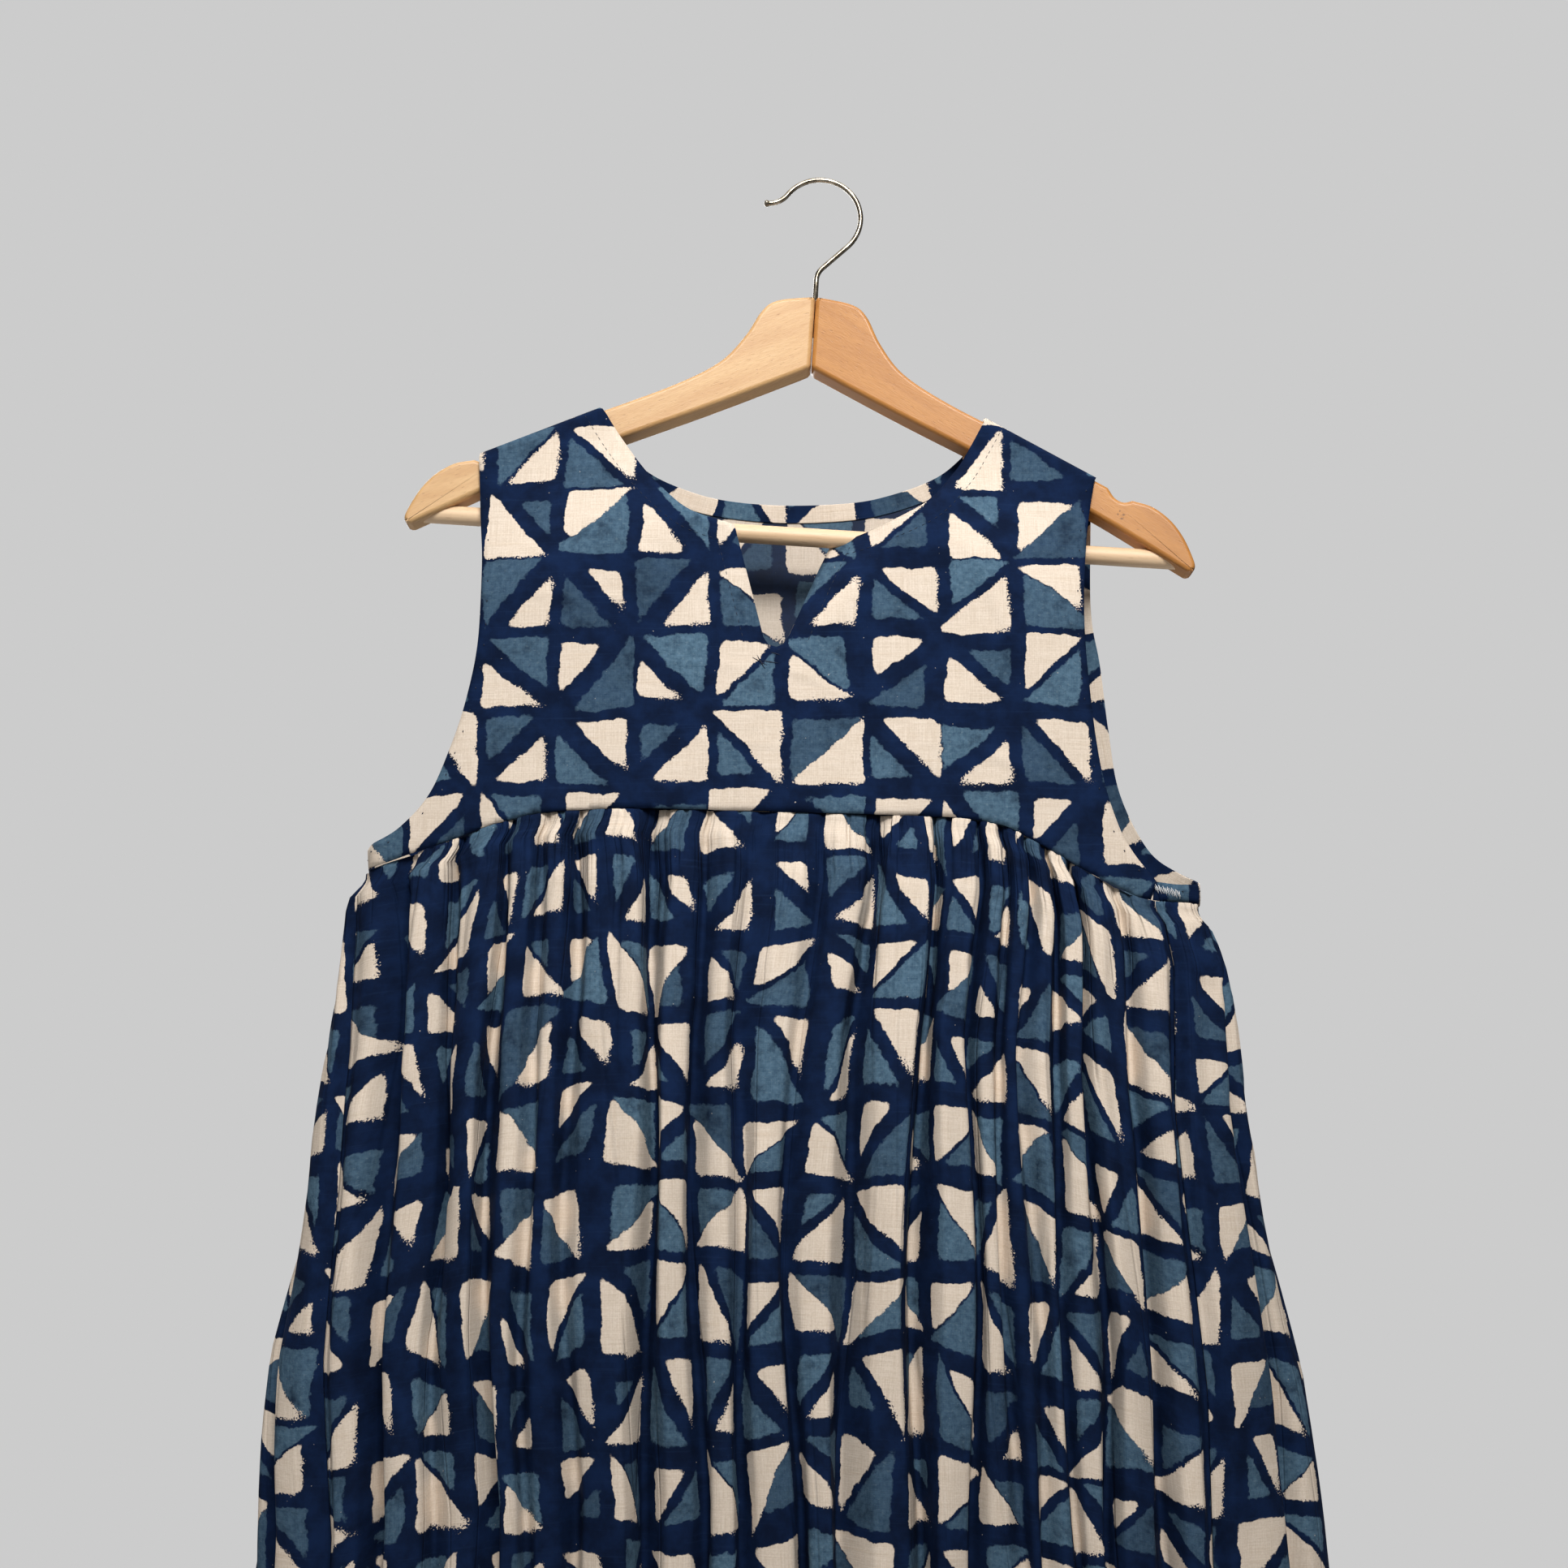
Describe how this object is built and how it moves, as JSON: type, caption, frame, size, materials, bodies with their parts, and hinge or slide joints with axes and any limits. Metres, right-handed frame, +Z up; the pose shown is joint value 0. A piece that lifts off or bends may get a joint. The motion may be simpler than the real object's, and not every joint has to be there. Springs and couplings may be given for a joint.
{
  "type": "sleeveless dress on a wooden hanger",
  "caption": "Sleeveless block-printed cotton dress with a notched round neck, straight yoke and gathered skirt, hung on a flat wooden hanger with a trouser bar and wire hook.",
  "frame": {"origin": "the point where a rail touches the inside of the hook", "axes": "+Z up, along the hanging dress; -Y the dress's front; +X to the right seen from the front, which is the wearer's left"},
  "size_m": [0.6417, 0.1824, 1.185],
  "materials": {
    "print": "matte block-printed cotton",
    "facing": "matte cotton",
    "wood": "satin clear lacquer",
    "dowel": "satin clear lacquer",
    "steel": "polished"
  },
  "bodies": {
    "root": {"facing_armhole_back_left": "facing", "facing_armhole_back_right": "facing", "facing_armhole_front_left": "facing", "facing_armhole_front_right": "facing", "facing_neck_back": "facing", "facing_neck_front": "facing", "hanger_arm_left": "wood", "hanger_arm_right": "wood", "hanger_bar": "dowel", "hanger_hook": "steel", "skirt_back": "print", "skirt_front": "print", "yoke_back": "print", "yoke_front": "print"}
  },
  "joints": []
}
